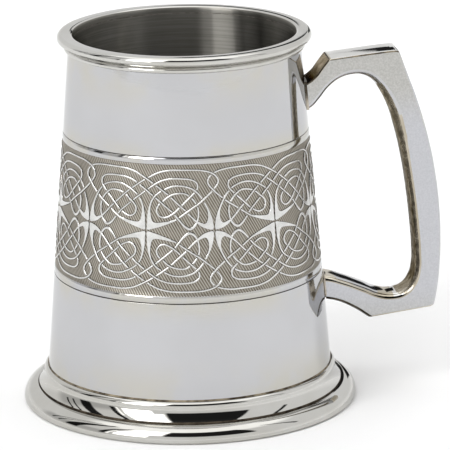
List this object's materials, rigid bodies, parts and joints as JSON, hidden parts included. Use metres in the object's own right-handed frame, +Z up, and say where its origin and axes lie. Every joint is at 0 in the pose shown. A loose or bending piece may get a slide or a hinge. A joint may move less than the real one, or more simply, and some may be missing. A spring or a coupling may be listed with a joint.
{
  "type": "pewter tankard",
  "caption": "Tapered pewter tankard with a rolled lip, a band of raised knotwork, a stepped foot ring and an angular cast handle.",
  "frame": {"origin": "centre of the bounding box on the surface the tankard stands on; the barrel's axis is the vertical line at x = -0.01392 m, y = 0", "axes": "+Z up along the barrel's axis, +X towards the handle, +Y to the left of a viewer looking along +X"},
  "size_m": [0.1354, 0.1074, 0.1205],
  "materials": {
    "polished_pewter": "mirror-polished pewter with faint handling marks",
    "satin_pewter": "satin pewter, fine grain on the flat sides, polished on the edges",
    "aged_pewter": "hatched and darkened ground with bright raised strands",
    "inner_pewter": "unpolished pewter with fine turning lines",
    "solder": "dull soft solder, cleaned back flush"
  },
  "bodies": {
    "root": {"barrel": "polished_pewter", "lip_ring": "polished_pewter", "foot_ring": "polished_pewter", "handle": "satin_pewter", "knotwork_band": "aged_pewter", "floor_disc": "inner_pewter", "lip_solder": "solder", "foot_solder": "solder", "floor_solder": "solder", "upper_handle_solder": "solder", "lower_handle_solder": "solder"}
  },
  "joints": []
}
